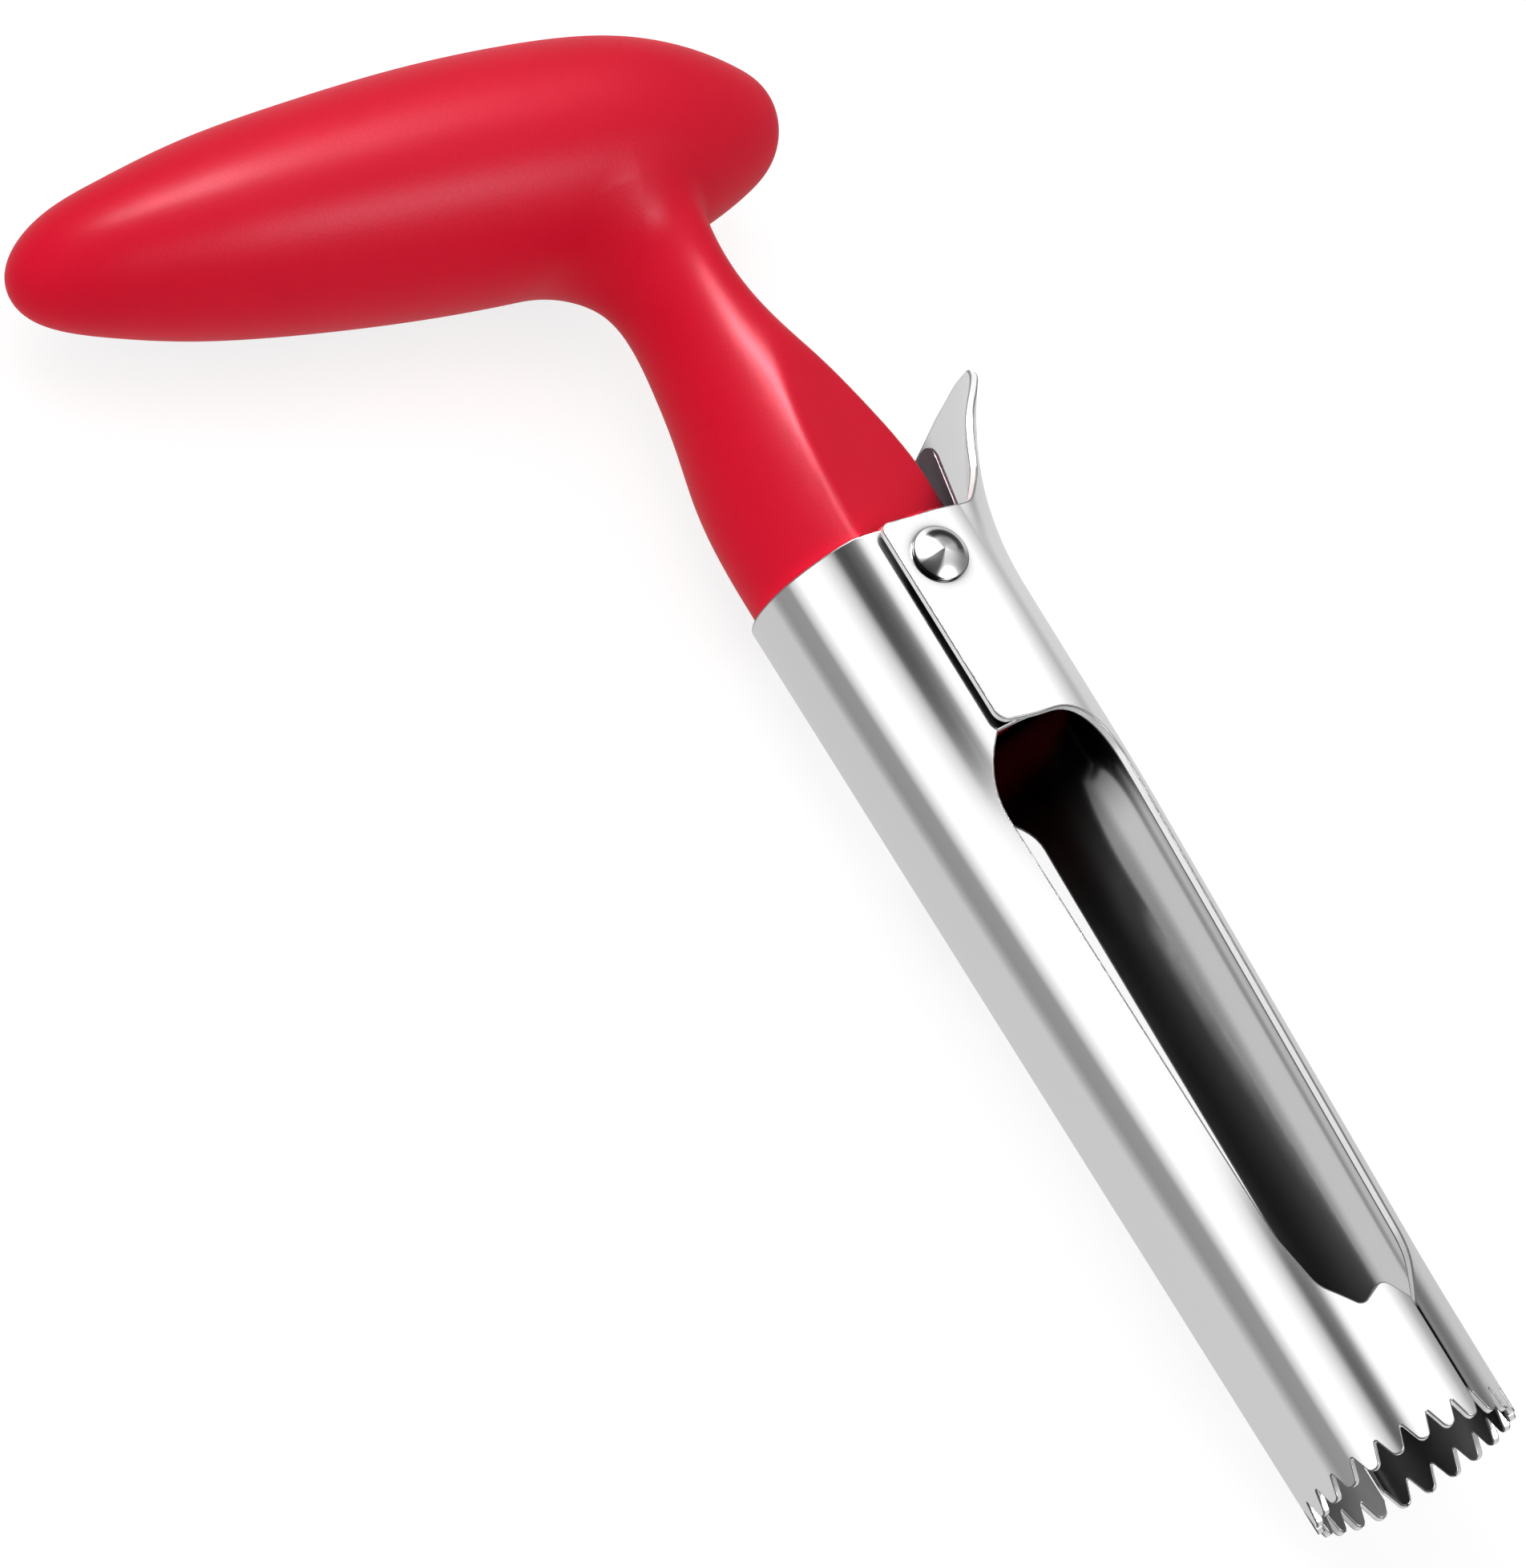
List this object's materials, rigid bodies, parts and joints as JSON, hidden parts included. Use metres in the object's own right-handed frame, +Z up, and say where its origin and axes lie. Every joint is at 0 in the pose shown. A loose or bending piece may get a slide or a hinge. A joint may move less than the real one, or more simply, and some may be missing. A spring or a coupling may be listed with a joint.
{
  "type": "apple corer",
  "caption": "Hand corer with a moulded T grip and a toothed steel tube split lengthwise; one half is hinged on a rivet and opened by a thumb tab.",
  "frame": {"origin": "under the middle of the tool's bounding box, at the height of its lowest face, with the tool lying on its flank", "axes": "+Y along the blade tube from the teeth to the grip, +X to the side of the thumb tab, +Z up, along the pivot rivet's axis"},
  "size_m": [0.0994, 0.1878, 0.0329],
  "materials": {
    "red_moulding": "red ABS with a satin, very finely grained skin",
    "polished_steel": "mirror polished stainless steel sheet",
    "rivet_steel": "polished stainless steel",
    "spring_steel": "dark blued spring steel"
  },
  "bodies": {
    "handle_body": {"handle": "red_moulding", "fixed_blade": "polished_steel", "rivet_barrel": "rivet_steel", "rivet_pin": "rivet_steel", "return_spring": "spring_steel"},
    "lever": {"lever_blade": "polished_steel"}
  },
  "joints": [
    {"name": "lever_pivot", "type": "hinge", "parent": "handle_body", "child": "lever", "pos_m": [0.02407, 0.0159, 0.01642], "axis": [0, 0, 1], "range_deg": [0, 12], "stiffness_Nm_per_rad": 0.12, "springref_deg": -34.38, "deforming": ["return_spring"]}
  ]
}
